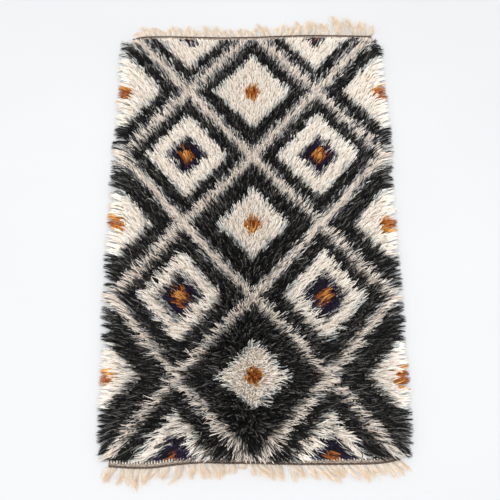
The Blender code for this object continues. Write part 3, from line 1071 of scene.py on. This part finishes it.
# %% Fringe tables and material
# Places across the rug, length along the rug and sideways lean, from left to right
HEAD_FRINGE = np.array([
    (-0.415, 0.030, -0.20),
    (-0.365, 0.044, -0.35),
    (-0.300, 0.036, -0.10),
    (-0.250, 0.046, 0.05),
    (-0.180, 0.044, -0.45),
    (-0.110, 0.056, -0.25),
    (-0.060, 0.038, -0.45),
    (-0.010, 0.050, -0.55),
    (0.035, 0.056, -0.20),
    (0.090, 0.056, 0.25),
    (0.130, 0.048, 0.40),
    (0.165, 0.064, 0.35),
    (0.200, 0.078, 0.10),
    (0.255, 0.074, 0.35),
    (0.310, 0.080, -0.10),
    (0.345, 0.077, -0.05),
    (0.375, 0.066, 0.45),
    (0.415, 0.052, 0.20),
])
FOOT_FRINGE = np.array([
    (-0.415, 0.042, -0.90),
    (-0.398, 0.066, -0.50),
    (-0.365, 0.066, -0.10),
    (-0.320, 0.062, -0.40),
    (-0.260, 0.046, -0.50),
    (-0.230, 0.046, -0.20),
    (-0.200, 0.062, 0.15),
    (-0.150, 0.052, 0.20),
    (-0.090, 0.045, 0.45),
    (-0.035, 0.022, 0.30),
    (0.000, 0.048, 0.65),
    (0.100, 0.052, 0.70),
    (0.200, 0.054, 0.80),
    (0.300, 0.052, 0.85),
    (0.355, 0.056, 0.60),
    (0.392, 0.044, 1.10),
    (0.418, 0.028, 1.70),
])
WISP_PITCH = 0.0165
FIBRES_PER_WISP = 52
FIBRE_RADIUS = 0.00041
FRINGE_RINGS = 6
STRAY_SHARE = 0.16
# From the painted lit side of a wisp, near white, to its painted shaded side, tan; the spread also holds the yarn's
# own ivory and tan
WARP_LIT_TO_SHADED = ["#FFFFFE", "#FFFDFA", "#FEF8F0", "#FAF0E4", "#F0E2CF", "#E2CFB8"]

warp_wool = wool_material("untwisted_warp_yarn", WARP_ROOT_SHADE_AND_TIP_TINT, WARP_FIBRE)


def fringe(name, node, edge_at, outward, table):
    """Wisps of warp along one end. Each fibre starts at the cord and lies on the floor."""
    wisps = int(cloth_width / WISP_PITCH)
    wisp_place = left_side + cloth_width * (np.arange(wisps) + 0.5) / wisps
    wisp_place = wisp_place + rng.normal(0, 0.0035, wisps)
    wisp_length = np.interp(wisp_place, table[:, 0], table[:, 1]) * rng.uniform(0.62, 1.06, wisps)
    wisp_lean = np.interp(wisp_place, table[:, 0], table[:, 2]) + rng.normal(0, 0.18, wisps)
    wisp_curl = rng.normal(0, 0.32, wisps)
    wisp_phase = rng.uniform(0, 2 * math.pi, wisps)
    wisp = np.repeat(np.arange(wisps), FIBRES_PER_WISP)
    count = len(wisp)
    inner = rng.normal(0, 1, count).clip(-2, 2)
    place = wisp_place[wisp] + 0.0042 * inner
    start = edge_at(place) + outward * (2 * CORD_RADIUS - 0.0005)
    size = wisp_length[wisp] * (1 - 0.55 * rng.uniform(0, 1, count) ** 1.6)
    lean = wisp_lean[wisp] - 0.35 * wisp_curl[wisp] + 0.13 * inner * rng.uniform(0, 1, count)
    lean = lean + rng.normal(0, 0.45, count) * (rng.uniform(0, 1, count) < STRAY_SHARE)
    sideways = size * lean
    flat_length = np.hypot(size, sideways)
    gather = np.zeros((count, 3))
    gather[:, 0] = (wisp_curl[wisp] - 0.10 * inner + rng.normal(0, 0.05, count)) * size
    shades = np.array([linear(yarn) for yarn in WARP_LIT_TO_SHADED])
    # Fibres on one side of the wisp take the paler yarns and on the other the tan ones: a painted lit side and a
    # painted shaded side
    shade = np.rint(2.3 + 1.3 * inner + rng.normal(0, 0.8, count)).astype(int)
    values = {
        "root": np.stack([place, start, rng.uniform(0.0008, 0.0034, count)], axis=1),
        "yarn_length": flat_length,
        "first_angle": np.radians(rng.uniform(66, 86, count)),
        "bend": np.radians(rng.uniform(14, 40, count)),
        "heading": np.stack([sideways, outward * size, 0 * size], axis=1) / flat_length[:, None],
        "gather": gather,
        "phase": wisp_phase[wisp] + rng.normal(0, 0.7, count),
        "thickness": rng.uniform(0.7, 1.2, count),
        "tip_share": np.full(count, 0.3),
        "yarn_colour": shades[shade.clip(0, len(shades) - 1)],
    }
    settings = {"Wave": 0.0060, "Wave turn": 5.5}
    piece = grow_yarn(name, values, "warp_yarn", FRINGE_RINGS, FIBRE_RADIUS, warp_wool, **settings)
    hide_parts(node)


fringe("warp_fringe_head", "fringe_head", head_at, 1, HEAD_FRINGE)
fringe("warp_fringe_foot", "fringe_foot", foot_at, -1, FOOT_FRINGE)

# %% [markdown]

# %% [markdown]
# ## Floor, light and camera
# The rug lies on a pale floor that runs out of the picture. One large soft lamp above and a
# pale sky give the light of a photo studio. The camera stands over the foot of the rug and
# tips forward by fifteen degrees, so the head end looks a little smaller.

# %% Floor
FLOOR_TINTS = [(0.0, "#B9BABB"), (1.0, "#BEBFC0")]


def floor_material():
    """Painted studio floor: pale, matt, very slightly uneven."""
    material, tree, shader = new_material("matt_white_paint", 0.9, 0.1)
    place = add_node(tree, "ShaderNodeTexCoord")
    cloud = add_node(tree, "ShaderNodeTexNoise", {"Vector": place.outputs["Object"], "Scale": 2.0})
    colour = ramp_node(tree, cloud.outputs["Fac"], FLOOR_TINTS)
    tree.links.new(colour.outputs["Color"], shader.inputs["Base Color"])
    return material


bpy.ops.mesh.primitive_plane_add(size=60.0, location=(0, 0, 0))
floor = bpy.context.object
floor.name = "floor"
floor.data.materials.append(floor_material())

# %% Light
sky = bpy.data.worlds.new("pale_sky")
sky.use_nodes = True
sky.node_tree.nodes["Background"].inputs["Color"].default_value = linear("#F8F8F9")
sky.node_tree.nodes["Background"].inputs["Strength"].default_value = 1.33
bpy.context.scene.world = sky

lamp_data = bpy.data.lights.new("softbox", "AREA")
lamp_data.shape = "RECTANGLE"
lamp_data.size = 2.6
lamp_data.size_y = 2.6
lamp_data.energy = 91
lamp = bpy.data.objects.new("softbox", lamp_data)
lamp.location = (-0.12, -0.35, 3.4)
lamp.rotation_mode = "QUATERNION"
lamp.rotation_quaternion = Vector(lamp.location).to_track_quat("Z", "Y")
bpy.context.collection.objects.link(lamp)

# %% Camera
CAMERA_PLACE = (-0.0079, -0.5318, 1.707)
CAMERA_TIP = math.radians(15.0)
FOCAL_PIXELS, PICTURE_PIXELS, SENSOR = 561.0, 500.0, 36.0
camera_data = bpy.data.cameras.new("camera")
camera_data.sensor_width = SENSOR
camera_data.lens = SENSOR * FOCAL_PIXELS / PICTURE_PIXELS
camera = bpy.data.objects.new("camera", camera_data)
camera.location = CAMERA_PLACE
camera.rotation_euler = (CAMERA_TIP, 0.0, 0.0)
bpy.context.collection.objects.link(camera)
bpy.context.scene.camera = camera
bpy.context.scene.view_settings.view_transform = "Standard"

# %% [markdown]
# ## The end

# %% Finish
bpy.context.view_layer.update()
